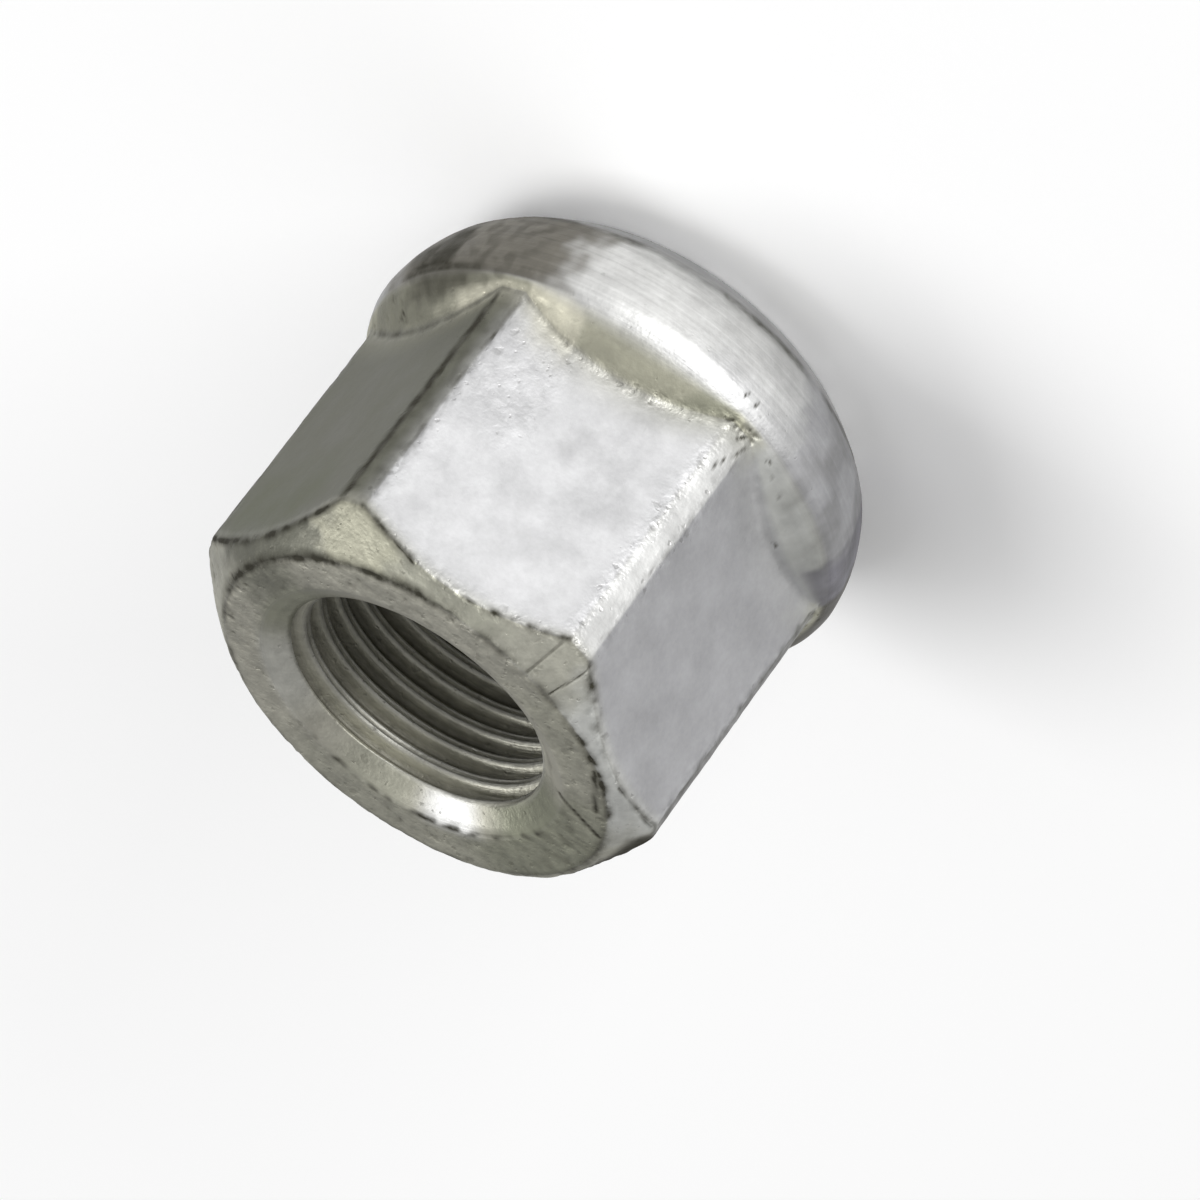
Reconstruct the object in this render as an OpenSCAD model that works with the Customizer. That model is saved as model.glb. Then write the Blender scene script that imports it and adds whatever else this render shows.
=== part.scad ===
// Wheel nut: a forged hexagon run out into a round collar, with a ball seat
// under the collar and a threaded bore countersunk at both ends.
// The nut stands on its seat end, z = 0. +Z runs along the bore to the outer face.

/* [Hexagon] */
// Width across the flats
across_flats = 24; // [23:0.5:26]
// Height of the nut from seat end to outer face
nut_height = 24.8; // [24:0.1:30]
// Diameter left across the rounded corners
corner_d = 26.9; // [26.6:0.1:27.4]
// Diameter of the flat outer face
face_d = 22.6; // [21:0.1:23]
// Slope of the corner chamfer, from the plane of the face
chamfer_angle = 42; // [25:1:50]

/* [Collar] */
// Diameter of the round collar
collar_d = 28.2; // [27.6:0.1:29]
// Height at which the middle of each flat meets the run-out
flats_low_z = 9.1; // [8.8:0.1:10.5]
// Slope of the run-out from the flats down to the collar
run_out_angle = 46; // [35:1:52]
// Height at which the collar starts to round in towards the seat
rim_start_z = 6.3; // [5.5:0.1:6.5]
// Radius that rounds the collar towards the seat
rim_round = 7.8; // [7:0.1:8.2]

/* [Ball seat] */
// Radius of the ball that the seat is part of
seat_radius = 18; // [17:0.5:20]
// Outer diameter of the seat
seat_d = 25.2; // [24.8:0.1:25.8]

/* [Thread] */
// Nominal thread diameter
thread_d = 16; // [15:0.5:16]
// Thread pitch
thread_pitch = 1.5; // [1:0.25:2]
// Mouth of the countersink in the outer face
face_sink_d = 17.6; // [17:0.1:19]
// Mouth of the countersink in the seat end
seat_sink_d = 17.2; // [17:0.1:17.6]
// Full angle of both countersinks
sink_angle = 120; // [90:5:120]

/* [Hidden] */
$fn = 96;
HEX_SIDES = 6;
PAST = 1; // how far a cutter runs past the face it cuts

half_flats = across_flats / 2;
corner_r = corner_d / 2;
face_r = face_d / 2;
collar_r = collar_d / 2;
seat_r = seat_d / 2;

// The chamfer falls from the face to the corners, the run-out from the flats to the collar.
chamfer_drop = (corner_r - face_r) * tan(chamfer_angle);
MIN_BAND = 0.2; // least height of the straight band round the collar
collar_top_z = max(
    flats_low_z - (collar_r - half_flats) * tan(run_out_angle),
    rim_start_z + MIN_BAND
);

// The rounding is an arc that starts level with its centre and ends at the seat.
rim_centre_r = collar_r - rim_round;
seat_edge_z = rim_start_z - sqrt(pow(rim_round, 2) - pow(seat_r - rim_centre_r, 2));
ball_z = seat_edge_z + sqrt(pow(seat_radius, 2) - pow(seat_r, 2));

// Basic bore of an internal 60 degree thread.
MINOR_FACTOR = 1.0825;
bore_d = thread_d - MINOR_FACTOR * thread_pitch;

// Six flats, cut from a bar that is turned round at the corners and chamfered at the face.
module hexagon() {
    intersection() {
        translate([0, 0, collar_top_z - PAST])
            cylinder(d = across_flats / cos(30), h = nut_height - collar_top_z + PAST, $fn = HEX_SIDES);
        rotate_extrude()
            polygon([
                [0, 0], [corner_r, 0],
                [corner_r, nut_height - chamfer_drop],
                [face_r, nut_height], [0, nut_height]
            ]);
    }
}

// Half section of the collar: run-out cone, short band and rounded rim.
// Inside the edge of the seat it goes straight down, for the ball to cut.
module collar_section() {
    polygon([
        [0, rim_start_z], [collar_r, rim_start_z], [collar_r, collar_top_z],
        [half_flats, flats_low_z], [0, flats_low_z]
    ]);
    square([seat_r, rim_start_z]);
    intersection() {
        translate([rim_centre_r, rim_start_z]) circle(r = rim_round);
        square([collar_r, rim_start_z]);
    }
}

// The collar with its underside ground to the ball of the seat.
module collar() {
    intersection() {
        rotate_extrude() collar_section();
        translate([0, 0, ball_z]) sphere(r = seat_radius);
    }
}

// A countersink that opens upwards to its mouth at z = 0.
module countersink(mouth_d) {
    drop = (mouth_d - bore_d) / 2 / tan(sink_angle / 2);
    rise = PAST / tan(sink_angle / 2);
    translate([0, 0, -drop])
        cylinder(d1 = bore_d, d2 = mouth_d + 2 * PAST, h = drop + rise);
}

// The bore with its two countersinks, as one cutter.
module bore() {
    translate([0, 0, -PAST]) cylinder(d = bore_d, h = nut_height + 2 * PAST);
    translate([0, 0, nut_height]) countersink(face_sink_d);
    mirror([0, 0, 1]) countersink(seat_sink_d);
}

module wheel_nut() {
    color([0.72, 0.72, 0.70])
    difference() {
        union() {
            hexagon();
            collar();
        }
        bore();
    }
}

wheel_nut();
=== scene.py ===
# %% [markdown]
# # A worn wheel nut
# A wheel nut holds a wheel on its stud. This one is forged from round bar: six flats
# are pressed in for the wrench, the bar's own round skin is left at the corners, and
# below the flats the bar swells into a collar whose underside is a ball seat.
# The scene loads the measured CAD model first, and every shape is built round it.

# %% Load the measured model
import math

import bmesh
import bpy
import numpy as np
from mathutils import Matrix, Vector, noise


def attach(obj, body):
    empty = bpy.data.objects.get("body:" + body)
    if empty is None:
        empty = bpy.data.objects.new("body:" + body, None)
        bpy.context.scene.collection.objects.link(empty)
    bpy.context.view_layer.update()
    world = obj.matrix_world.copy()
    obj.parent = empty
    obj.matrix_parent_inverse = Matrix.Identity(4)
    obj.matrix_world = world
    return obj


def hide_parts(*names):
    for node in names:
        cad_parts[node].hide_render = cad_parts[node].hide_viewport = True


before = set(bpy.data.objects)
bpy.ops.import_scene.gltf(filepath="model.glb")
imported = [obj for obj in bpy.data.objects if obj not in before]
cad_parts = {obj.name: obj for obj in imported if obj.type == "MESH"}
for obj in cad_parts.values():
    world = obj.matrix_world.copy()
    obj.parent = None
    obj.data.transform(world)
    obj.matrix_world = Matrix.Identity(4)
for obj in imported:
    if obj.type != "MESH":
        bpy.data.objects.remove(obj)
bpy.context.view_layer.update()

MM = 0.001
SEED = 16

# %% [markdown]
# ## Camera
# A long lens from about 40 cm keeps the sides of the nut nearly parallel. The camera is
# made first, and it is rolled, because the nut is seen lying with its face down to the
# left. It could be aimed with a constraint, but one quaternion states the same thing.

# %% Camera
CAMERA_AT = Vector((-56.042, -335.895, 201.232)) * MM
CAMERA_AIM = Vector((-4.131, 0.637, 13.036)) * MM
CAMERA_ROLL = math.radians(-143.586)
LENS = 231.148
SENSOR = 36

camera = bpy.data.objects.new("camera", bpy.data.cameras.new("camera"))
bpy.context.scene.collection.objects.link(camera)
bpy.context.scene.camera = camera
camera.data.sensor_width = SENSOR
camera.data.lens = LENS
aim = (CAMERA_AIM - CAMERA_AT).to_track_quat("-Z", "Y").to_matrix().to_4x4()
camera.matrix_world = Matrix.Translation(CAMERA_AT) @ aim @ Matrix.Rotation(CAMERA_ROLL, 4, "Z")
print("camera stands", round((CAMERA_AIM - CAMERA_AT).length / MM), "mm from the nut")

# %% [markdown]
# ## Sizes
# These are the sizes of the measured model, in millimetres, and what follows from them.
# The face was turned a little off centre on this nut, so its chamfer is deeper on one
# side. That is a fault in how this nut was made, not its design, so only this model has it.

# %% Sizes
HEIGHT, HALF_FLATS, CORNER_R = 24.8, 12.0, 13.45
FACE_R, CHAMFER = 11.3, math.radians(42)
FACE_OFF = (-0.22, 0.212)
COLLAR_R, FLATS_LOW, RUN_OUT = 14.1, 9.1, math.radians(46)
RIM_START, RIM_ROUND = 6.3, 7.8
SEAT_R, BALL_R = 12.6, 18.0
FACE_SINK_R, SEAT_SINK_R, SINK = 8.8, 8.6, math.radians(60)
THREAD_R, PITCH = 8.0, 1.5
MINOR_FACTOR = 1.0825  # basic minor diameter of a 60 degree thread
MINOR_R = THREAD_R - MINOR_FACTOR * PITCH / 2

RIM_CENTRE = COLLAR_R - RIM_ROUND
BAND_TOP = FLATS_LOW - (COLLAR_R - HALF_FLATS) * math.tan(RUN_OUT)
SEAT_Z = RIM_START - math.sqrt(RIM_ROUND**2 - (SEAT_R - RIM_CENTRE) ** 2)
BALL_Z = SEAT_Z + math.sqrt(BALL_R**2 - SEAT_R**2)
END_R = math.sqrt(BALL_R**2 - BALL_Z**2)
LIP = 0.15  # how far the outside skin reaches into the two countersinks
print("seat edge at", round(SEAT_Z, 3), "mm, seat end radius", round(END_R, 3), "mm")

# %% [markdown]
# ## The turned blank
# A lathe part is one half section turned about its axis, so the outside starts as a line
# of points and one spin. A cylinder could be cut with six planes and bevelled instead,
# but the cut would leave long thin faces, and no points where the edges are worn.
# Here each ring of the spin keeps its own number, so that it can later be laid along
# the edge it belongs to. The rings stand close together at the edges.

# %% Rings of the half section
GROWTH = 0.25  # how fast the rings spread out with the distance from an edge


def ring_steps(length, fine, coarse):
    """Shares of a stretch from 0 to 1, with close rings at both ends."""
    marks, at = [0.0], 0.0
    while at < length:
        at += min(coarse, fine + GROWTH * min(at, max(length - at, 0)))
        marks.append(at)
    return [m / marks[-1] for m in marks[:-1]]


# length, closest and widest spacing of the rings in each stretch, from mouth to mouth
STRETCHES = {
    "lip": (LIP, 0.08, 0.08),
    "face": (2.5, 0.09, 0.3),
    "chamfer": (2.3, 0.08, 0.25),
    "flat": (14.5, 0.09, 0.5),
    "run_out": (2.9, 0.10, 0.3),
    "band": (0.7, 0.2, 0.3),
    "rim": (5.6, 0.25, 0.4),
    "seat": (2.6, 0.12, 0.5),
    "end": (2.0, 0.12, 0.6),
    "seat_lip": (LIP, 0.08, 0.08),
}
# a ring's number is that of its stretch, from 0 to 9, plus its share of the way along it
rings = [i + s for i, sizes in enumerate(STRETCHES.values()) for s in ring_steps(*sizes)]
rings.append(float(len(STRETCHES)))
print(len(rings), "rings from mouth to mouth")

# %% Corner lines of the section, at any angle round the nut
def off_centre(radius, off, ux, uy):
    """Distance from the axis to a circle that stands off centre, along (ux, uy)."""
    along = off[0] * ux + off[1] * uy
    return along + np.sqrt(radius**2 - off[0] ** 2 - off[1] ** 2 + along**2)


def section_corners(angle):
    """Radius and height of each corner of the half section, one column per angle."""
    ux, uy = np.cos(angle), np.sin(angle)
    across = np.abs((angle % (math.pi / 3)) - math.pi / 6)
    side = np.minimum(HALF_FLATS / np.cos(across), CORNER_R)
    face = off_centre(FACE_R, FACE_OFF, ux, uy)
    reach = np.hypot(side * ux - FACE_OFF[0], side * uy - FACE_OFF[1])
    front = HEIGHT - (reach - FACE_R) * math.tan(CHAMFER)
    rear = FLATS_LOW - (side - HALF_FLATS) * math.tan(RUN_OUT)
    one = np.ones_like(angle)
    reach_in = LIP * math.tan(SINK)
    radii = [FACE_SINK_R - reach_in, FACE_SINK_R, face, side, side, COLLAR_R, COLLAR_R,
             SEAT_R, END_R, SEAT_SINK_R, SEAT_SINK_R - reach_in]
    heights = [HEIGHT - LIP, HEIGHT, HEIGHT, front, rear, BAND_TOP, RIM_START,
               SEAT_Z, 0.0, 0.0, LIP]
    return np.array([r * one for r in radii]), np.array([h * one for h in heights])


def section_point(ring, angle):
    """Radius and height of a ring at an angle, straight between the section's corners."""
    low = np.minimum(ring.astype(int), len(STRETCHES) - 1)
    share, column = ring - low, np.arange(len(ring))
    return [rows[low, column] * (1 - share) + rows[low + 1, column] * share
            for rows in section_corners(angle)]


corner_and_flat = section_corners(np.radians([0, 30]))[1][3]
print("the chamfer ends at", corner_and_flat.round(2), "mm, at a corner and on a flat")

# %% Spin the blank
TURN_STEPS = 576  # points round the nut
skin = bmesh.new()
ring_of = skin.verts.layers.float.new("ring")
start_r, start_z = section_point(np.array(rings), np.zeros(len(rings)))
profile = []
for ring, r, z in zip(rings, start_r, start_z):
    vert = skin.verts.new((r, 0, z))
    vert[ring_of] = ring
    profile.append(vert)
edges = [skin.edges.new(pair) for pair in zip(profile, profile[1:])]
bmesh.ops.spin(skin, geom=profile + edges, cent=(0, 0, 0), axis=(0, 0, 1),
               angle=2 * math.pi, steps=TURN_STEPS, use_merge=True)
print("blank:", len(skin.verts), "points,", len(skin.faces), "faces")

# %% [markdown]
# ## Pressing the flats
# The forging die is written as one smooth function of a point: below zero is metal.
# A soft maximum joins two surfaces with a small round between them, as tool wear and
# tumbling leave it, and a soft minimum lays a fillet where the flats sink into the
# collar. A Bevel modifier could round the edges, but not by a different amount each.

# %% Soft joints between surfaces
def soft_max(a, b, width):
    """The larger of two distances, rounded over where they are about equal."""
    share = np.clip(0.5 + 0.5 * (a - b) / width, 0, 1)
    return b + (a - b) * share + width * share * (1 - share)


def soft_min(a, b, width):
    """The smaller of two distances, with a fillet where they are about equal."""
    return -soft_max(-a, -b, width)


FLAT_ANGLES = [math.radians(30 + 60 * k) for k in range(6)]
# width of the round at each joint, in mm
ROUND = {"corner": 0.14, "chamfer": 0.16, "collar_top": 0.75, "seat": 0.25, "run_out": 0.3,
         "face": 0.16, "seat_end": 0.12, "mouth": 0.12, "seat_mouth": 0.1}


def nut_skin(x, y, z):
    """Distance to the outside of the nut, negative inside the metal."""
    rho = np.hypot(x, y)
    flats = np.max([x * math.cos(a) + y * math.sin(a) for a in FLAT_ANGLES], axis=0) - HALF_FLATS
    body = soft_max(flats, rho - CORNER_R, ROUND["corner"])
    from_face = np.hypot(x - FACE_OFF[0], y - FACE_OFF[1])
    chamfer = (from_face - FACE_R) * math.sin(CHAMFER) + (z - HEIGHT) * math.cos(CHAMFER)
    body = soft_max(body, chamfer, ROUND["chamfer"])
    body = np.maximum(body, RIM_START - z)
    cone = (rho - HALF_FLATS) * math.sin(RUN_OUT) + (z - FLATS_LOW) * math.cos(RUN_OUT)
    below = np.minimum(z - RIM_START, 0)
    rim = np.where(rho > RIM_CENTRE, np.hypot(rho - RIM_CENTRE, below) - RIM_ROUND, below)
    collar = soft_max(cone, rim, ROUND["collar_top"])
    ball = np.sqrt(rho**2 + (z - BALL_Z) ** 2) - BALL_R
    collar = soft_max(collar, ball, ROUND["seat"])
    body = soft_min(body, collar, ROUND["run_out"])
    body = soft_max(body, z - HEIGHT, ROUND["face"])
    body = soft_max(body, -z, ROUND["seat_end"])
    face_sink = (FACE_SINK_R - rho) * math.cos(SINK) - (HEIGHT - z) * math.sin(SINK)
    seat_sink = (SEAT_SINK_R - rho) * math.cos(SINK) - z * math.sin(SINK)
    body = soft_max(body, face_sink, ROUND["mouth"])
    return soft_max(body, seat_sink, ROUND["seat_mouth"])


print("rounds of", min(ROUND.values()), "to", max(ROUND.values()), "mm")

# %% Lay every point on the pressed surface
CROWD = 0.4  # how much closer the points stand at the corners than on the flats
SPINE_R, SPINE_LOW, SPINE_HIGH = 10.3, 3.5, 23.0  # the middle of the wall, where rays start
FURTHEST = 1.6  # how far past the drawn section a ray looks for the skin
HALVINGS = 36  # each one halves what is left between metal and air

skin_at = np.array([v.co for v in skin.verts])
skin_ring = np.array([v[ring_of] for v in skin.verts])
turned = np.arctan2(skin_at[:, 1], skin_at[:, 0])
angle = turned - CROWD / 6 * np.sin(6 * turned)
radius, height = section_point(skin_ring, angle)
spine_z = np.clip(height, SPINE_LOW, SPINE_HIGH)


def on_ray(share):
    """Points on the rays that run from the middle of the wall to the drawn section."""
    r = SPINE_R + (radius - SPINE_R) * share
    return r * np.cos(angle), r * np.sin(angle), spine_z + (height - spine_z) * share


near, far = np.zeros(len(angle)), np.full(len(angle), FURTHEST)
for _ in range(HALVINGS):
    middle = (near + far) / 2
    inside = nut_skin(*on_ray(middle)) < 0
    near, far = np.where(inside, middle, near), np.where(inside, far, middle)
skin_at = np.array(on_ray(near)).T
print("pressed nut spans", np.ptp(skin_at, axis=0).round(3), "mm")

# %% [markdown]
# ## Knocks and wear
# A nut like this is dropped, hammered and wrenched. Small dents sit where metal stands
# proud: along the corners, on the edge of the chamfer and round the face. Each dent is a
# soft hollow pushed in along the surface. A bump map could draw them, but then the
# outline and the edges would stay perfect. Nothing is pushed outwards, so the nut stays
# inside its measured size.

# %% Which way is out, and how far each point is from the edges
def outward(points, step=0.01):
    """Unit normals of the smooth nut, from how its distance changes."""
    sides = []
    for axis in range(3):
        shift = np.zeros(3)
        shift[axis] = step
        sides.append(nut_skin(*(points + shift).T) - nut_skin(*(points - shift).T))
    normal = np.array(sides).T
    return normal / np.linalg.norm(normal, axis=1)[:, None]


edge_r, edge_z = section_corners(angle)
smooth_r, smooth_z = np.hypot(skin_at[:, 0], skin_at[:, 1]), skin_at[:, 2].copy()


def from_edge(corner):
    """Distance in the half section to one corner line of the section, in mm."""
    return np.hypot(smooth_r - edge_r[corner], smooth_z - edge_z[corner])


# the edges, by the numbers of the rings that lie on them
MOUTH, FACE_EDGE, FRONT, REAR, COLLAR_EDGE, SEAT_EDGE = 1, 2, 3, 4, 5, 7
degrees = np.degrees(angle) % 360
STRIP = math.degrees(math.pi / 6 - math.acos(HALF_FLATS / CORNER_R))  # half width, degrees
DEGREE = math.radians(1) * CORNER_R  # length of one degree round the corners, in mm
from_corner = (degrees + 30) % 60 - 30
from_strip = np.abs(np.abs(from_corner) - STRIP) * DEGREE
normals = outward(skin_at)
print("corner strips are", round(2 * STRIP * DEGREE, 2), "mm wide")

# %% Places on the nut
def place_on(ring, degree):
    """Points on the drawn section at ring and angle."""
    turn = np.radians(np.atleast_1d(degree))
    r, z = section_point(np.zeros_like(turn) + ring, turn)
    return np.array([r * np.cos(turn), r * np.sin(turn), z]).T


print("the middle of the first flat is at", place_on(3.5, 30)[0].round(2))

# %% Dents
rng = np.random.default_rng(SEED)


def dents_along(count, ring_span, degree_span, sizes, depths):
    """Random dents in a patch of rings and angles: centre, radius and depth."""
    ring = rng.uniform(*ring_span, count)
    degree = rng.uniform(*degree_span, count)
    return np.hstack([place_on(ring, degree), rng.uniform(*sizes, (count, 1)),
                      rng.uniform(*depths, (count, 1))])


SMALL, MID = (0.10, 0.24), (0.18, 0.4)
ALONG_FLATS, CHAMFER_EDGE, ALL_ROUND = (3.0, 4.0), (2.93, 3.01), (0, 360)
# number of dents, rings and degrees that they lie between, radii and depths in mm
DENTS = [
    (26, ALONG_FLATS, (235.8, 238.2), SMALL, (0.02, 0.07)),
    (34, ALONG_FLATS, (241.8, 244.2), SMALL, (0.02, 0.07)),
    (46, ALONG_FLATS, (295.6, 297.6), MID, (0.03, 0.09)),
    (20, ALONG_FLATS, (302.0, 304.0), SMALL, (0.02, 0.07)),
    (40, CHAMFER_EDGE, (240, 300), SMALL, (0.02, 0.08)),
    (30, CHAMFER_EDGE, (216, 236), MID, (0.04, 0.09)),
    (20, CHAMFER_EDGE, (180, 216), SMALL, (0.02, 0.06)),
    (22, CHAMFER_EDGE, (300, 360), SMALL, (0.02, 0.06)),
    (30, CHAMFER_EDGE, (0, 180), MID, (0.02, 0.08)),
    (20, (3.6, 3.97), (276, 295), MID, (0.01, 0.03)),
    (70, ALONG_FLATS, (0, 180), SMALL, (0.01, 0.03)),
    (60, (1.85, 2.1), ALL_ROUND, MID, (0.03, 0.08)),
    (60, (1.1, 1.9), ALL_ROUND, MID, (0.02, 0.06)),
    (30, (2.1, 2.9), ALL_ROUND, MID, (0.01, 0.04)),
    (26, (1.7, 2.15), (335, 395), (0.2, 0.45), (0.05, 0.1)),
    (14, (1.3, 1.9), (60, 180), (0.2, 0.5), (0.04, 0.08)),
    (26, (3.85, 4.1), (180, 360), SMALL, (0.01, 0.04)),
    (30, (4.1, 4.8), (280, 345), MID, (0.03, 0.07)),
    (24, (4.1, 4.9), (0, 280), MID, (0.01, 0.04)),
    (50, (5.0, 7.0), ALL_ROUND, MID, (0.01, 0.04)),
    (26, (6.85, 7.05), ALL_ROUND, SMALL, (0.02, 0.06)),
    (14, (3.8, 4.5), (236.5, 243.5), (0.16, 0.28), (0.06, 0.1)),
]
OTHER_CORNERS = (0, 60, 120, 180)
DENTS += [(24, ALONG_FLATS, (c - 3.6, c + 3.6), MID, (0.02, 0.07)) for c in OTHER_CORNERS]
FULL_KNOCK = 0.07  # depth in mm at which a dent is full of dirt

dents = np.vstack([dents_along(*row) for row in DENTS])
pushed, knocked = np.zeros(len(skin_at)), np.zeros(len(skin_at))
for x, y, z, size, depth in dents:
    away = np.linalg.norm(skin_at - (x, y, z), axis=1) / size
    hollow = np.clip(1 - away**2, 0, 1) ** 2
    pushed = np.maximum(pushed, depth * hollow)
    knocked = np.maximum(knocked, hollow * depth / FULL_KNOCK)
print(len(dents), "dents, the deepest", round(pushed.max(), 3), "mm")

# %% [markdown]
# ## Uneven skin
# The plating is lumpy, most of all along the edges, where it builds up in beads. Noise is
# worked out once for each point and used twice: here to sink the skin, and later to
# break up the grime, so that the dirt lies in the hollows. A few small functions say
# where on the nut a mark belongs: on which rings, at which angle, or along which edge.

# %% Masks over the skin
def patchy(points, size, seed):
    """Smooth noise from 0 to 1 at each point, with lumps of about size mm."""
    shift = Vector((seed * 7.3, seed * 3.1, seed * 5.7))
    return np.array([0.5 + 0.5 * noise.noise(Vector(p) / size + shift) for p in points])


def ease(value, low, high):
    """0 below low, 1 above high and a smooth rise between."""
    t = np.clip((value - low) / (high - low), 0, 1)
    return t * t * (3 - 2 * t)


def around(turn, centre, inner, outer):
    """1 within inner degrees of an angle round the nut, falling to 0 at outer."""
    return 1 - ease(np.abs((turn - centre + 180) % 360 - 180), inner, outer)


def on(low, high, soft=0.06):
    """1 on the rings from low to high."""
    past_low = ease(skin_ring, low - soft, low + soft)
    return past_low * (1 - ease(skin_ring, high - soft, high + soft))


def line(distance, width):
    """1 on a line and fading over width mm to its sides."""
    return np.exp(-((distance / width) ** 2))


print(round(100 * on(3, 4).mean()), "% of the points lie on the flats")

# %% Noise and wear
LUMP_SIZE, FINE_SIZE, BEAD_SIZE = 2.2, 0.7, 0.45  # mm
rough, fine_rough = patchy(skin_at, LUMP_SIZE, 1), patchy(skin_at, FINE_SIZE, 2)
beads = patchy(skin_at, BEAD_SIZE, 3)
blotch, fine_blotch = ease(rough, 0.3, 0.62), ease(fine_rough, 0.35, 0.65)

# 1 where the metal is rubbed and knocked, 0 where it was never touched
worn = np.max([
    line(from_edge(FACE_EDGE), 0.7),
    line(from_edge(FRONT), 0.6),
    line(from_edge(REAR), 0.6),
    line(from_strip, 0.6) * on(2.9, 4.1, 0.1),
    0.8 * on(1, 2),
    0.6 * on(2, 3),
    0.3 * on(4, 7),
    0.6 * on(3.55, 4.6, 0.1) * around(degrees, 288, 6, 13),
    0.8 * line(from_edge(SEAT_EDGE), 1.0),
], axis=0)
worn *= 1 - 0.8 * around(degrees, 210, 25, 29) * on(3.8, 4.9)
print("mean wear of the skin:", round(worn.mean(), 2))

# %% [markdown]
# ## Scratches
# The deep scratches are placed one by one, where a tool slipped over the face, the chamfer
# and the collar. Besides those, a nut that lay loose in a box carries fine scuffs in
# every direction, so they are drawn at random from a fixed seed and come out the same
# in every run. Each one is a groove in the mesh, because light catches its sides.

# %% Scratches
def from_scratch(start, end):
    """Distance to a straight scratch between two places, given as ring and degree."""
    a, b = place_on(*start)[0], place_on(*end)[0]
    share = np.clip((skin_at - a) @ (b - a) / ((b - a) @ (b - a)), 0, 1)
    return np.linalg.norm(skin_at - a - share[:, None] * (b - a), axis=1)


# start and end of each scratch as ring and degree, then its half width in mm
SCRATCHES = [
    ((2.05, 243.7), (2.95, 243.7), 0.06), ((2.05, 235.8), (2.95, 235.0), 0.06),
    ((0.5, 189.5), (1.9, 178.8), 0.16), ((1.92, 208), (1.78, 190), 0.16),
    ((2.85, 201), (2.88, 183), 0.11), ((2.98, 288), (2.88, 281.5), 0.09),
    ((4.05, 244.2), (4.15, 243.0), 0.1), ((3.84, 240.3), (3.88, 239.3), 0.1),
    ((3.97, 239.8), (4.05, 238.2), 0.1), ((3.92, 238.0), (3.97, 236.8), 0.12),
    ((5.4, 240.3), (5.6, 239.3), 0.08), ((4.35, 237.4), (4.6, 236.2), 0.08),
    ((3.54, 242.5), (3.56, 241.9), 0.1), ((5.95, 241.8), (6.15, 240.8), 0.08),
    ((6.0, 244.8), (6.1, 243.9), 0.08), ((4.45, 222.4), (4.53, 221.4), 0.09),
    ((4.1, 211), (4.13, 208.8), 0.06), ((4.5, 231.2), (4.6, 230.0), 0.06),
    ((5.8, 334), (5.6, 323), 0.13), ((5.45, 330), (5.1, 321), 0.12),
    ((4.3, 338), (4.36, 337), 0.16),
]
scratches = np.max([line(from_scratch(a, b), w) for a, b, w in SCRATCHES], axis=0)
print(len(SCRATCHES), "scratches")

# %% Scuffs
SCUFF_WIDTH = 0.09  # half width in mm


def scuffs_along(count, ring_span, ring_slant, degree_slant):
    """Short random scratches all round the nut, with their starts between two rings."""
    depth = np.zeros(len(skin_at))
    for _ in range(count):
        start = rng.uniform(*ring_span), rng.uniform(*ALL_ROUND)
        across = rng.uniform(-ring_slant, ring_slant)
        end = start[0] + across, start[1] + rng.uniform(-degree_slant, degree_slant)
        scuff = rng.uniform(0.4, 1) * line(from_scratch(start, end), SCUFF_WIDTH)
        depth = np.maximum(depth, scuff)
    return depth


face_scuffs = scuffs_along(110, (1.1, 2.9), 0.25, 5)
collar_scuffs = scuffs_along(50, (4.2, 6.8), 0.15, 6)
scuffs = np.maximum(face_scuffs, collar_scuffs)
print("scuffs cover", round(100 * (scuffs > 0.2).mean(), 1), "% of the skin")

# %% Press the marks into the skin
GROOVE_DEPTH, SCRATCH_DEPTH, SCUFF_DEPTH = 0.08, 0.05, 0.035
LUMP_DEPTH, FINE_DEPTH, WORN_DEPTH, BEAD_DEPTH = 0.03, 0.012, 0.045, 0.05

# the tool that faced the nut left a groove at the edge, deeper in two places
groove_share = 1.6 * rough - 0.3 + around(degrees, 320, 30, 45) + around(degrees, 211, 12, 20)
face_groove = line(from_edge(FACE_EDGE), 0.15) * np.clip(groove_share, 0, 1)
at_edges = np.max([
    line(from_edge(FACE_EDGE), 0.45),
    line(from_edge(FRONT), 0.4),
    line(from_edge(REAR), 0.4),
    line(from_strip, 0.4) * on(3, 4),
], axis=0)
pushed += GROOVE_DEPTH * face_groove + SCRATCH_DEPTH * scratches + LUMP_DEPTH * rough
pushed += SCUFF_DEPTH * scuffs
pushed += (FINE_DEPTH + WORN_DEPTH * worn) * fine_rough + BEAD_DEPTH * at_edges * beads

# the lips keep their place, where the thread joins
LIP_FADE = 12
middle_ring = len(STRETCHES) / 2
from_lip = 1 - np.abs(skin_ring - middle_ring) / middle_ring
pushed *= np.clip(from_lip * LIP_FADE, 0, 1)
skin_at -= normals * pushed[:, None]
for vert, place in zip(skin.verts, skin_at):
    vert.co = place
print("marks sink the skin by up to", round(pushed.max(), 3), "mm")

# %% [markdown]
# ## The thread
# The stud's thread is a left-hand one. One pitch of the wall, crest, flank, root and
# flank, is spun with a step down the axis at each turn, which makes the helix. A torus
# or an array of rings would be simpler, but its grooves would never meet as real ones do.
# A forming tap squeezes metal up both flanks, and the two ridges leave a fine fold
# between them along the crest. It makes the crests of such a bore shine as double lines.

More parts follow.
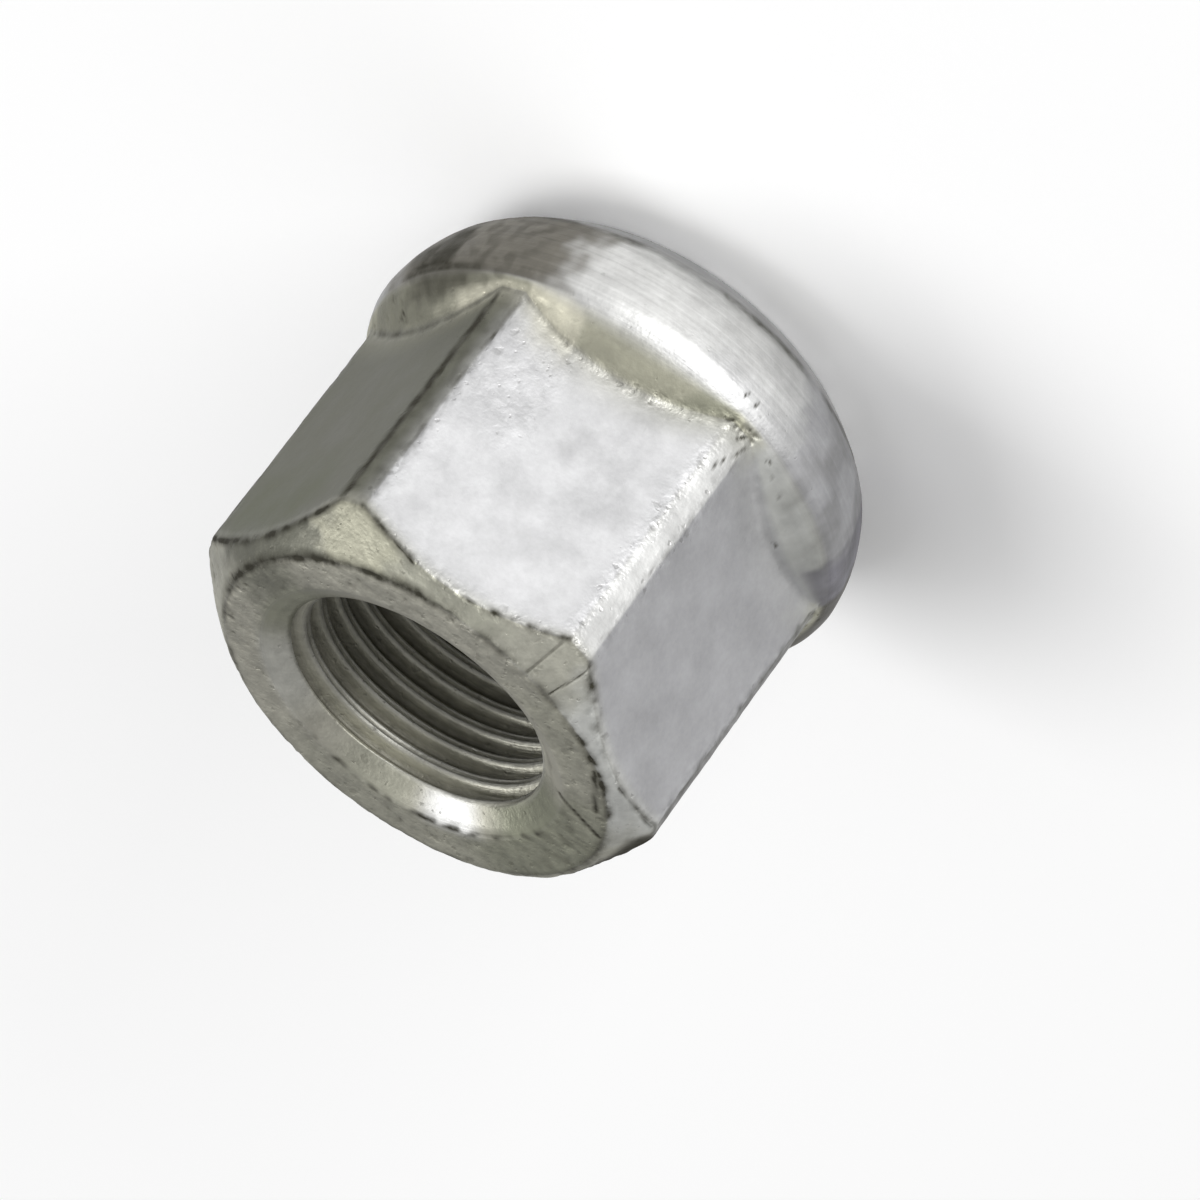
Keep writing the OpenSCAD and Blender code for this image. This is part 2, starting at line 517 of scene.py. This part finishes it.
# %% Spin the thread wall
THREAD_STEPS = 96  # steps in one turn
THREAD_TURNS = 20
THREAD_TOP = HEIGHT + 2.8  # height of the first crest, which sets where the grooves lie
CREST, ROOT = PITCH / 4, PITCH / 8
FOLD = 0.08  # depth of the fine fold that the tap left along the crest
FLANK = (PITCH - CREST - ROOT) / 2
SAME_POINT = 0.002  # points closer than this are merged, in mm

# distances along one pitch at which the wall gets a point
drops = [CREST * s for s in (0, 0.2, 0.5, 0.8, 1)]
drops += [CREST + FLANK * s for s in (0.33, 0.67, 1.0)]
drops += [CREST + FLANK + ROOT * s for s in (0.5, 1.0)]
drops += [PITCH - FLANK * (1 - s) for s in (0.33, 0.67, 1.0)]


def thread_radius(drop):
    """Radius of the wall at a distance along one pitch."""
    return float(np.interp(drop, [0, CREST / 2, CREST, CREST + FLANK, PITCH - FLANK, PITCH],
                           [MINOR_R, MINOR_R + FOLD, MINOR_R, THREAD_R, THREAD_R, MINOR_R]))


wall = bmesh.new()
points = [wall.verts.new((thread_radius(d), 0, THREAD_TOP - d)) for d in drops]
spans = [wall.edges.new(pair) for pair in zip(points, points[1:])]
bmesh.ops.spin(wall, geom=points + spans, cent=(0, 0, 0), axis=(0, 0, 1),
               dvec=(0, 0, -PITCH / THREAD_STEPS), angle=2 * math.pi * THREAD_TURNS,
               steps=THREAD_STEPS * THREAD_TURNS, use_merge=False)
bmesh.ops.remove_doubles(wall, verts=wall.verts[:], dist=SAME_POINT)
print("thread wall:", len(wall.faces), "faces")

# %% Open the thread into the countersinks and close up its ends
RIM_DEPTH = 0.3  # depth in each countersink at which the thread wall starts

# points past the ends come back to them, and points inside a countersink go out to its cone
for vert in wall.verts:
    z = min(max(vert.co.z, RIM_DEPTH), HEIGHT - RIM_DEPTH)
    sink = max(FACE_SINK_R - (HEIGHT - z) * math.tan(SINK), SEAT_SINK_R - z * math.tan(SINK))
    reach = math.hypot(vert.co.x, vert.co.y)
    out = sink / reach if sink > reach or z != vert.co.z else 1
    vert.co = (vert.co.x * out, vert.co.y * out, z)
bmesh.ops.remove_doubles(wall, verts=wall.verts[:], dist=SAME_POINT)
thread_mesh = bpy.data.meshes.new("thread_wall")
wall.to_mesh(thread_mesh)
wall.free()
print("trimmed thread:", len(thread_mesh.polygons), "faces")

# %% [markdown]
# ## One closed skin
# The thread wall joins the outside at both lips, so the nut is one closed shell.
# Bridge Edge Loops does this between rims with different numbers of points.

# %% Join the thread to the skin
skin.from_mesh(thread_mesh)
bpy.data.meshes.remove(thread_mesh)


def open_rims(low, high):
    """The open edges that lie between two heights."""
    rims = [edge for edge in skin.edges if edge.is_boundary]
    return [edge for edge in rims if all(low < vert.co.z < high for vert in edge.verts)]


for low, high in ((-1, 1), (HEIGHT - 1, HEIGHT + 1)):
    bmesh.ops.bridge_loops(skin, edges=open_rims(low, high))
bmesh.ops.recalc_face_normals(skin, faces=skin.faces[:])
print("open edges left:", sum(e.is_boundary for e in skin.edges), "volume",
      round(skin.calc_volume(signed=True)), "mm3")

# %% [markdown]
# ## Tones, with painted light and shade
# Old zinc isn't one colour, and these tones also hold painted light and shade. The flat at
# 270 degrees, the top of the collar above it, two spots on the run-out and one in the
# countersink are painted pale as lit. The flat at 330 degrees and the chamfer, run-out and
# collar beside it are painted dark as shaded, and so are the roots of the thread. The corner
# at 240 degrees is polished by a wrench and also painted brighter as a highlight. Olive,
# brown and plum patches give the zinc an uneven tone. These follow the shape, so they are
# kept as values on the points of the mesh. Painted textures could do it too, but values need
# no image file and stay with the points they belong to.

# %% Tones of old zinc, with painted light and shade
WHITE, BRIGHT, PEARL = (0.50, 0.50, 0.505), (0.57, 0.57, 0.56), (0.49, 0.495, 0.475)
GREY, LILAC, OLIVE = (0.36, 0.36, 0.36), (0.345, 0.345, 0.353), (0.35, 0.345, 0.295)
STRAW, CREAM, WARM = (0.355, 0.348, 0.275), (0.62, 0.60, 0.49), (0.31, 0.302, 0.258)
BROWN, DUSKY, MOSSY = (0.195, 0.20, 0.15), (0.12, 0.121, 0.096), (0.10, 0.107, 0.07)
PLUM, SOOTY, BORE = (0.17, 0.165, 0.19), (0.05, 0.046, 0.034), (0.60, 0.59, 0.50)
UMBER = (0.158, 0.149, 0.127)
# the flat at 270 degrees is painted pale as lit, and the one at 330 is painted dark as shade
FLAT_TONES = [GREY, LILAC, GREY, LILAC, WHITE, DUSKY]  # flats at 30, 90, ... 330 degrees
print("flats, first to last:", [round(sum(tone) / 3, 2) for tone in FLAT_TONES])

# %% Patches of tone, some of them painted light and shade
EVERYWHERE = (0, 180, 181)  # middle angle, inner and outer half width, in degrees
# tone, first and last ring, softness, place round the nut (as in EVERYWHERE) and share
PATCHES = [
    (MOSSY, 3, 3.3, 0.2, (335, 12, 24), 0.8),
    (OLIVE, 2, 3, 0.06, EVERYWHERE, 1),
    # painted shade on the chamfer round 327 degrees
    (DUSKY, 2, 3, 0.06, (327, 12, 26), 0.85),
    (STRAW, 2, 3, 0.06, (297, 8, 15), 1),
    (BROWN, 2, 3, 0.06, (272, 8, 20), 0.35),
    (PEARL, 2, 3, 0.06, (205, 16, 34), 1),
    (SOOTY, 2.5, 3.1, 0.15, (165, 10, 17), 0.9),
    (WARM, 1, 2, 0.06, EVERYWHERE, 1),
    (BROWN, 1, 2, 0.06, (155, 14, 60), 0.8),
    (BROWN, 1, 2, 0.06, (80, 10, 40), 0.3),
    (BROWN, 1, 2, 0.06, (222, 8, 26), 0.3),
    (DUSKY, 1, 2, 0.06, (336, 6, 18), 0.8),
    (STRAW, 4, 4.9, 0.16, EVERYWHERE, 1),
    (BROWN, 4, 4.9, 0.16, (249, 3, 9), 0.55),
    # painted highlights on the run-out at 289 and 308 degrees, painted shade round 330, and a
    # painted dark crease at 322
    (CREAM, 4, 4.9, 0.16, (289, 2, 9), 1),
    (DUSKY, 4, 4.9, 0.16, (330, 20, 30), 0.6),
    (CREAM, 4.03, 4.5, 0.12, (308, 4, 15), 0.7),
    (SOOTY, 4.5, 4.95, 0.12, (322, 6, 14), 0.6),
    (PEARL, 4, 4.9, 0.2, (210, 22, 32), 1),
    # painted shade on the ridge of the run-out at 210 degrees, which dulls its highlight
    (LILAC, 3.85, 4.2, 0.08, (210, 18, 28), 0.8),
    (PLUM, 4.9, 6.6, 0.2, (221, 4, 10), 0.4),
    # painted light on the top of the collar at 270 degrees, then painted shade that dulls the
    # highlight on its crest at 246 to 250
    (BRIGHT, 4.75, 7, 0.25, (270, 10, 42), 1),
    (GREY, 4.75, 5.6, 0.2, (246, 10, 24), 0.8),
    (LILAC, 5.2, 6.3, 0.2, (250, 4, 12), 0.4),
    # painted shade on the side of the collar round 316 degrees
    (UMBER, 4.9, 7, 0.14, (316, 20, 33), 1),
    (LILAC, 4.9, 7, 0.14, (206, 18, 30), 1),
    (SOOTY, 4.5, 7, 0.2, (172, 10, 18), 0.9),
    (PLUM, 4.3, 7.3, 0.3, (191, 5, 11), 0.8),
    (SOOTY, 5.3, 6.8, 0.3, (327, 2, 10), 0.8),
    # painted light on the rim of the collar at 243 degrees
    (BRIGHT, 6.2, 7, 0.2, (243, 6, 14), 0.5),
]
# tone, place round the nut and share, in the countersink of the face
SINK_PATCHES = [
    (BROWN, (340, 10, 40), 0.75),
    (PEARL, (26, 8, 30), 0.4),
    (BROWN, (84, 8, 24), 0.4),
    # a painted highlight low in the countersink, round 115 degrees
    (BRIGHT, (115, 5, 16.5), 1),
    (BROWN, (160, 14, 34), 1),
]


def lay(tones, colour, share):
    """Mixes a colour into the tones by a share that differs from point to point."""
    return tones + (np.array(colour) - tones) * np.asarray(share)[:, None]


def sink_tones(turn):
    """Tones of the countersink in the face, with a painted highlight low on one side and darker
    brown patches beside it.
    """
    tones = np.tile(WARM, (len(turn), 1))
    for tone, place, share in SINK_PATCHES:
        tones = lay(tones, tone, share * around(turn, *place))
    return tones


print(len(PATCHES) + len(SINK_PATCHES), "patches of tone")

# %% Lay the tones on the skin
skin_count = len(skin_at)
tones = np.tile(GREY, (skin_count, 1))
# painted light on the flat at 270 degrees and painted shade on the flat at 330
for k, tone in enumerate(FLAT_TONES):
    on_this_flat = np.abs((degrees - 60 * k) % 360 - 30) < 30
    tones = lay(tones, tone, on(3, 4) * on_this_flat)

strip = (1 - ease(np.abs(from_corner), STRIP - 0.4, STRIP + 0.5)) * on(3, 4)
# the corner at 240 degrees is polished, and its bright tone is also a painted highlight
polish_and_highlight = strip * around(degrees, 240, 6, 10)  # the corner that a wrench has polished
tones = lay(tones, GREY, strip)
tones = lay(tones, BRIGHT, polish_and_highlight)
tones = lay(tones, DUSKY, strip * around(degrees, 305, 3.5, 12))
tones = lay(tones, SOOTY, strip * around(degrees, 306, 1.5, 5))

wander = degrees + 14 * (rough - 0.5) + 8 * (fine_rough - 0.5)  # gives patches uneven sides
for tone, low, high, soft, place, share in PATCHES:
    tones = lay(tones, tone, share * on(low, high, soft) * around(wander, *place))
# the countersink's tones, with their painted highlight
tones = lay(tones, sink_tones(degrees), 1 - ease(skin_ring, 0.9, 1.25))
print("mean tone:", tones.mean(axis=0).round(3))

# %% [markdown]
# ## Grime and lathe marks
# Brake dust and old oil stay where a cloth can't reach: along the edges, in dents and in
# scratches. Each line of grime is a soft line along one edge, over part of the way round,
# and noise breaks it into specks. The tables below list them, and the darkest one wins
# at each point. The face and the collar were turned, so they also keep lathe marks.

# %% Grime along the edges
# strength, edge, half width in mm, place round the nut, share that noise leaves, noise
EDGE_GRIME = [
    (0.65, FACE_EDGE, 0.35, EVERYWHERE, 0.3, blotch),
    (0.9, FACE_EDGE, 0.34, (208, 16, 24), 0.45, fine_blotch),
    (0.6, FACE_EDGE, 0.3, (20, 30, 50), 0, fine_blotch),
    (0.5, FRONT, 0.25, EVERYWHERE, 0, fine_blotch),
    (1, FRONT, 0.33, (330, 26, 31), 0.6, fine_blotch),
    (0.7, FRONT, 0.3, (290, 7, 10), 1, fine_blotch),
    (0.85, FRONT, 0.32, (249, 10, 18), 0.4, fine_blotch),
    (0.8, FRONT, 0.45, (227, 6, 11), 0.3, fine_blotch),
    (0.7, FRONT, 0.25, (187, 5, 9), 1, fine_blotch),
    (0.55, REAR, 0.25, (326, 24, 28), 1, blotch),
    (0.7, SEAT_EDGE, 0.6, EVERYWHERE, 0.4, blotch),
    (0.85, MOUTH, 0.28, (112, 45, 65), 0.3, fine_blotch),
    (1.2, COLLAR_EDGE, 0.28, (322, 10, 16), 1, blotch),
]
# strength, first and last ring, softness, place round the nut, share that noise leaves, noise
FIELD_GRIME = [
    (0.8, 2.65, 3.1, 0.12, (166, 10, 16), 1, blotch),
    (0.35, 4.2, 7, 0.3, (318, 16, 22), 0, fine_blotch),
    (0.3, 4.2, 7, 0.3, (205, 16, 26), 0, blotch),
    (0.35, 1, 2, 0.1, (165, 16, 30), 0, fine_blotch),
]


def speckled(least, noise_share):
    """Lets noise through, and keeps at least this share everywhere."""
    return least + (1 - least) * noise_share


grime_lines = []
for strength, edge, width, place, least, speckle in EDGE_GRIME:
    share = strength * around(degrees, *place) * speckled(least, speckle)
    grime_lines.append(share * line(from_edge(edge), width))
for strength, low, high, soft, place, least, speckle in FIELD_GRIME:
    share = strength * around(degrees, *place) * speckled(least, speckle)
    grime_lines.append(share * on(low, high, soft))
print(len(grime_lines), "lines and fields of grime")

# %% Grime on the corners, in knocks and in scratches
ragged_corner = np.abs(from_corner + 2 * (fine_rough - 0.5))
near_strip = np.abs(ragged_corner - STRIP) * DEGREE
wide_on_chamfer = from_edge(FACE_EDGE) * (1 + 0.5 * (skin_ring < 2))
clean_flat = around(degrees, 280, 15, 17) * on(2.99, 4.9, 0.02)
fine_on_flats = fine_blotch * on(3, 4)
polished_corner = around(degrees, 240, 8, 10)
dirty_corner = around(degrees, 305, 1.5, 4)
grime_lines += [
    line(wide_on_chamfer, 0.48) * around(degrees, 315, 32, 65) * speckled(0.75, fine_blotch),
    0.45 * line(from_edge(REAR), 0.25) * blotch * (1 - around(degrees, 210, 25, 30)),
    1.1 * line(near_strip, 0.38) * on(3, 4) * dirty_corner * speckled(0.6, fine_blotch),
    0.35 * strip * around(degrees, 302, 3, 5) * fine_blotch,
    0.5 * strip * around(degrees, 181.5, 2, 5),
    0.5 * line(from_strip, 0.35) * fine_on_flats * (1 - polished_corner),
    0.3 * line(from_strip, 0.25) * fine_on_flats * polished_corner,
    0.75 * on(5.2, 6.6, 0.4) * around(wander, 327, 3, 14) * speckled(0.4, fine_blotch),
    0.7 * np.minimum(knocked, 1.2) * fine_blotch * (1 - 0.9 * clean_flat),
    0.95 * scratches,
    0.45 * scuffs * fine_blotch,
]
grime = np.clip(np.max(grime_lines, axis=0), 0, 1)

turned_collar = on(4.6, 8, 0.3) * (1 - 0.4 * around(degrees, 210, 20, 30))
lathed = np.clip(0.25 * on(1, 3) + turned_collar, 0, 1)
print("mean grime:", round(grime.mean(), 3), "mean of the lathe marks:", round(lathed.mean(), 3))

# %% [markdown]
# ## The nut as one object
# The shape was worked out in millimetres, and Blender measures in metres. The points are
# scaled and not the object, so that the object stays at the origin with a scale of one,
# and patterns on it keep their size. Then it is tied to the measured model: it rides the
# root body and takes the place of the plain solid.

# %% Make the nut
for face in skin.faces:
    face.smooth = True
bmesh.ops.scale(skin, vec=(MM, MM, MM), verts=skin.verts[:])
nut_mesh = bpy.data.meshes.new("wheel_nut_dressed")
skin.to_mesh(nut_mesh)
skin.free()
nut = bpy.data.objects.new("wheel_nut_dressed", nut_mesh)
bpy.context.scene.collection.objects.link(nut)
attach(nut, "root")
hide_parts("wheel_nut")
print("triangles:", sum(len(p.vertices) - 2 for p in nut_mesh.polygons))

# %% Tones of the bore
# the points of the thread wall come after those of the outside
total = len(nut_mesh.vertices)
wall_count = total - skin_count
all_at = np.zeros(total * 3)
nut_mesh.vertices.foreach_get("co", all_at)
wall_at = all_at.reshape(-1, 3)[skin_count:] / MM
wall_r = np.hypot(wall_at[:, 0], wall_at[:, 1])
wall_turn = np.degrees(np.arctan2(wall_at[:, 1], wall_at[:, 0]))
groove = ease(wall_r, MINOR_R + 0.4, THREAD_R)
crest = 1 - ease(wall_r, MINOR_R, MINOR_R + 0.15)
in_sink = ease(wall_at[:, 2], HEIGHT - 1.0, HEIGHT - 0.8)
polished_wall = around(wall_turn, 150, 15, 50)

wall_tone = lay(np.tile(BORE, (wall_count, 1)), GREY, 0.6 * crest)
# painted shade in the thread roots, with some grime there too
wall_tone = lay(wall_tone, SOOTY, 0.6 * groove)
# painted shade on the bore wall round 20 degrees
wall_tone = lay(wall_tone, SOOTY, 0.3 * around(wall_turn, 20, 20, 70))
# the top of the wall takes the countersink's tones, with their painted highlight
wall_tone += (sink_tones(wall_turn) - wall_tone) * in_sink[:, None]
print(wall_count, "of", total, "points are on the thread wall")

# %% Write the values on the points
WALL_WEAR = 0.6
layers = {
    "tone": np.vstack([tones, wall_tone]),
    "grime": np.concatenate([grime, 0.1 + 0.1 * groove * (1 - in_sink)]),
    "polish_and_highlight": np.concatenate([polish_and_highlight, 0.5 * polished_wall]),
    "worn": np.concatenate([worn, np.full(wall_count, WALL_WEAR)]),
    "lathed": np.concatenate([lathed, (1 - in_sink) * (1 + polished_wall)]),
}
for name, values in layers.items():
    if values.ndim == 2:
        layer = nut_mesh.attributes.new(name, "FLOAT_COLOR", "POINT")
        layer.data.foreach_set("color", np.hstack([values, np.ones((total, 1))]).ravel())
    else:
        layer = nut_mesh.attributes.new(name, "FLOAT", "POINT")
        layer.data.foreach_set("value", values)
print("values on the points:", ", ".join(layers))

# %% [markdown]
# ## Dull zinc
# The finish starts from the tones on the points. Noise of a few sizes mottles them, and
# noise that reads only the radius and the height runs round the axis in fine rings, as a
# lathe leaves them. One texture could hold it all, but nodes stay sharp at any distance.

# %% Start the finish
zinc = bpy.data.materials.new("dull_zinc")
zinc.use_nodes = True
nodes, links = zinc.node_tree.nodes, zinc.node_tree.links
shader = nodes["Principled BSDF"]
object_place = nodes.new("ShaderNodeTexCoord").outputs["Object"]


def plug(node, sockets):
    """Sets sockets by name: a node's output is linked, anything else is a value."""
    for name, value in sockets.items():
        if isinstance(value, bpy.types.NodeSocket):
            links.new(value, node.inputs[name])
        else:
            node.inputs[name].default_value = value
    return node


print("the finish starts with", len(nodes), "nodes")

# %% Helpers for nodes
def maths(operation, a, b=0.5):
    """One step of arithmetic on two values."""
    node = nodes.new("ShaderNodeMath")
    node.operation = operation
    return plug(node, {0: a, 1: b}).outputs[0]


def span(value, low, high, out_low=0.0, out_high=1.0):
    """Maps a value from one range to another, and stops at its ends."""
    node = nodes.new("ShaderNodeMapRange")
    return plug(node, {"Value": value, "From Min": low, "From Max": high,
                       "To Min": out_low, "To Max": out_high}).outputs[0]


def spread(value, out_low, out_high):
    """Noise mostly lies between 0.3 and 0.7, and this maps it to another range."""
    return span(value, 0.3, 0.7, out_low, out_high)


def blend(share, a, b, kind="MIX"):
    """Mixes two colours. The numbers are the node's sockets for colours."""
    node = nodes.new("ShaderNodeMix")
    node.data_type, node.blend_type = "RGBA", kind
    return plug(node, {0: share, 6: a, 7: b}).outputs[2]


def value_on_points(name, output="Fac"):
    """Reads a value that was written on the points of the mesh."""
    node = nodes.new("ShaderNodeAttribute")
    node.attribute_name = name
    return node.outputs[output]


tone, dirt = value_on_points("tone", "Color"), value_on_points("grime")
polish, wear = value_on_points("polish_and_highlight"), value_on_points("worn")
turning = value_on_points("lathed")
print("values read from the points:", len(layers))

# %% Noise over the nut
def scaled_place(scale):
    """Place on the nut, in steps of 1 / scale mm."""
    return plug(nodes.new("ShaderNodeMapping"), {
        "Vector": object_place, "Scale": [scale / MM] * 3}).outputs[0]


def noise_at(place, detail, rough, size=1.0):
    """A noise node at a place."""
    return plug(nodes.new("ShaderNodeTexNoise"), {
        "Vector": place, "Scale": size, "Detail": detail, "Roughness": rough})


def mottle(scale, detail=3, rough=0.55):
    """Noise over the nut; scale is in lumps per millimetre."""
    return noise_at(scaled_place(scale), detail, rough).outputs["Fac"]


def rings_of_noise(scale):
    """Noise that runs round the axis, like the marks of a lathe; scale is in rings per mm."""
    x, y, z = plug(nodes.new("ShaderNodeSeparateXYZ"), {0: object_place}).outputs
    rho = maths("SQRT", maths("ADD", maths("MULTIPLY", x, x), maths("MULTIPLY", y, y)))
    slow = maths("MULTIPLY", mottle(0.12, 1), 4.0)  # lets a ring fade out on its way round
    flat = plug(nodes.new("ShaderNodeCombineXYZ"), {
        0: maths("MULTIPLY", rho, scale / MM), 1: maths("MULTIPLY", z, scale / MM), 2: slow})
    return noise_at(flat.outputs[0], 2, 0.6).outputs["Fac"]


clouds, lumps = mottle(0.45, 4), mottle(1.5, 2, 0.5)
grain, specks = mottle(3.2, 3, 0.6), mottle(6.0, 2)
streaks = rings_of_noise(4.0)
print("noise nodes:", sum(node.bl_idname == "ShaderNodeTexNoise" for node in nodes))

# %% Bare zinc
shade = maths("ADD", spread(clouds, 0.88, 1.10), spread(grain, -0.04, 0.04))
streak_shade = maths("MULTIPLY", maths("SUBTRACT", streaks, 0.5), turning)
worn_shade = maths("MULTIPLY", maths("SUBTRACT", lumps, 0.5), wear)
shade = maths("ADD", shade, maths("MULTIPLY", streak_shade, 0.5))
shade = maths("ADD", shade, maths("MULTIPLY", worn_shade, 0.7))
metal_colour = blend(1.0, tone, shade, "MULTIPLY")
print(len(nodes), "nodes so far")

# %% [markdown]
# ## Chips and grime
# Old zinc chips off in small pits, most of them where the nut is worn. A Voronoi texture
# gives each cell a random colour, so that only some of the cells become pits, and a
# little noise bends the cells out of their regular form. The grime on the points is
# multiplied by noise before it darkens the metal, so that its lines end in specks.

# %% Chips
BEND = (0.9, 0.9, 0.9)  # how far noise shifts the place, in cells


def warped(scale):
    """Place on the nut at scale cells per millimetre, bent a little by noise."""
    place = scaled_place(scale)
    bend = plug(nodes.new("ShaderNodeTexNoise"), {"Vector": place, "Scale": 1.4, "Detail": 2.0})
    node = nodes.new("ShaderNodeVectorMath")
    node.operation = "MULTIPLY_ADD"
    return plug(node, {0: bend.outputs["Color"], 1: BEND, 2: place}).outputs[0]


def chips(scale, reach):
    """Pits in some of the cells, more of them where the nut is worn."""
    cells = plug(nodes.new("ShaderNodeTexVoronoi"), {"Scale": 1.0, "Vector": warped(scale)})
    pick = plug(nodes.new("ShaderNodeSeparateColor"), {"Color": cells.outputs["Color"]}).outputs[0]
    chosen = span(maths("ADD", pick, maths("MULTIPLY", wear, 0.35)), 0.92, 1.25, 0.0, reach)
    return span(maths("SUBTRACT", chosen, cells.outputs["Distance"]), 0.0, 0.25)


pits = maths("MAXIMUM", chips(1.4, 0.5), chips(2.9, 0.5))
print(len(nodes), "nodes so far")

# %% Grime over the zinc
GRIME_COLOUR = (0.028, 0.026, 0.016, 1)
breakup = maths("MULTIPLY", spread(mottle(1.1, 1, 0.5), 0.75, 1.2), spread(grain, 0.84, 1.14))
stain = span(maths("MULTIPLY", dirt, breakup), 0.08, 0.85)
grime_share = maths("MAXIMUM", stain, maths("MULTIPLY", pits, 0.3))
colour = blend(grime_share, metal_colour, GRIME_COLOUR)
print("grime colour:", GRIME_COLOUR[:3])

# %% Roughness and relief
BUMP_STRENGTH, BUMP_DISTANCE = 0.5, 0.06 * MM
CLEAN_METALLIC, DIRTY_METALLIC = 0.75, 0.5
roughness = maths("ADD", spread(clouds, 0.46, 0.58), maths("MULTIPLY", grime_share, 0.25))
roughness = maths("SUBTRACT", roughness, maths("MULTIPLY", polish, 0.12))
relief = maths("ADD", maths("MULTIPLY", grain, 0.5), maths("MULTIPLY", specks, 0.2))
relief = maths("ADD", relief, maths("MULTIPLY", streak_shade, 0.5))
relief = maths("ADD", relief, maths("MULTIPLY", lumps, 0.8))
relief = maths("SUBTRACT", relief, maths("MULTIPLY", pits, 0.5))
relief = maths("SUBTRACT", relief, maths("MULTIPLY", stain, 0.25))
relief = maths("MULTIPLY", relief, span(wear, 0.0, 1.0, 0.35, 2.4))
bump = plug(nodes.new("ShaderNodeBump"), {
    "Height": relief, "Strength": BUMP_STRENGTH, "Distance": BUMP_DISTANCE})
metallic = span(grime_share, 0.0, 1.0, CLEAN_METALLIC, DIRTY_METALLIC)
plug(shader, {"Base Color": colour, "Roughness": roughness, "Metallic": metallic,
              "Normal": bump.outputs[0]})
nut_mesh.materials.append(zinc)
print(len(nodes), "nodes in", zinc.name)

# %% [markdown]
# ## Floor and light
# The nut stands on a matt white sheet, far wider than the view, under a plain white sky.
# Metal shows what it reflects, so two soft lamps shape it: one low on the camera's side,
# which brightens the flats that face the camera, and one high behind, like a window,
# which lights the collar and lays a soft shadow on the sheet. An HDRI could light it too,
# but it needs an image file. The Standard view keeps the tones as they are written.

# %% Floor
FLOOR_HALF = 4  # half the side of the sheet, in metres
PAPER_WHITE = (0.95, 0.95, 0.95, 1)
floor_sheet = bmesh.new()
bmesh.ops.create_grid(floor_sheet, x_segments=1, y_segments=1, size=FLOOR_HALF)
floor_mesh = bpy.data.meshes.new("floor")
floor_sheet.to_mesh(floor_mesh)
floor_sheet.free()
floor = bpy.data.objects.new("floor", floor_mesh)
bpy.context.scene.collection.objects.link(floor)
paper = bpy.data.materials.new("pale_floor")
paper.use_nodes = True
plug(paper.node_tree.nodes["Principled BSDF"], {
    "Base Color": PAPER_WHITE, "Roughness": 0.9, "Specular IOR Level": 0.0})
floor_mesh.materials.append(paper)
print("floor of", 2 * FLOOR_HALF, "m")

# %% Sky and lamps
NUT_MIDDLE = Vector((0, 0, 13)) * MM
LAMP_DISTANCE = 0.9  # metres
SKY_STRENGTH = 0.45
# name, direction from the nut, width and height in metres, power in watts
LAMPS = [
    ("front_lamp", (-0.35, -0.93, 0.12), 0.5, 0.24, 9.5),
    ("window_lamp", (0.485, 0.175, 0.857), 0.5, 0.5, 4.6),
]

bpy.context.scene.view_settings.view_transform = "Standard"
world = bpy.data.worlds.new("studio")
bpy.context.scene.world = world
world.use_nodes = True
plug(world.node_tree.nodes["Background"], {"Color": (1, 1, 1, 1), "Strength": SKY_STRENGTH})

for name, toward, width, tall, power in LAMPS:
    data = bpy.data.lights.new(name, "AREA")
    data.shape, data.size, data.size_y, data.energy = "RECTANGLE", width, tall, power
    lamp = bpy.data.objects.new(name, data)
    bpy.context.scene.collection.objects.link(lamp)
    place = NUT_MIDDLE + LAMP_DISTANCE * Vector(toward).normalized()
    look = (NUT_MIDDLE - place).to_track_quat("-Z", "Y").to_matrix().to_4x4()
    lamp.matrix_world = Matrix.Translation(place) @ look
    print(name, "stands at", [round(v, 2) for v in place], "m")
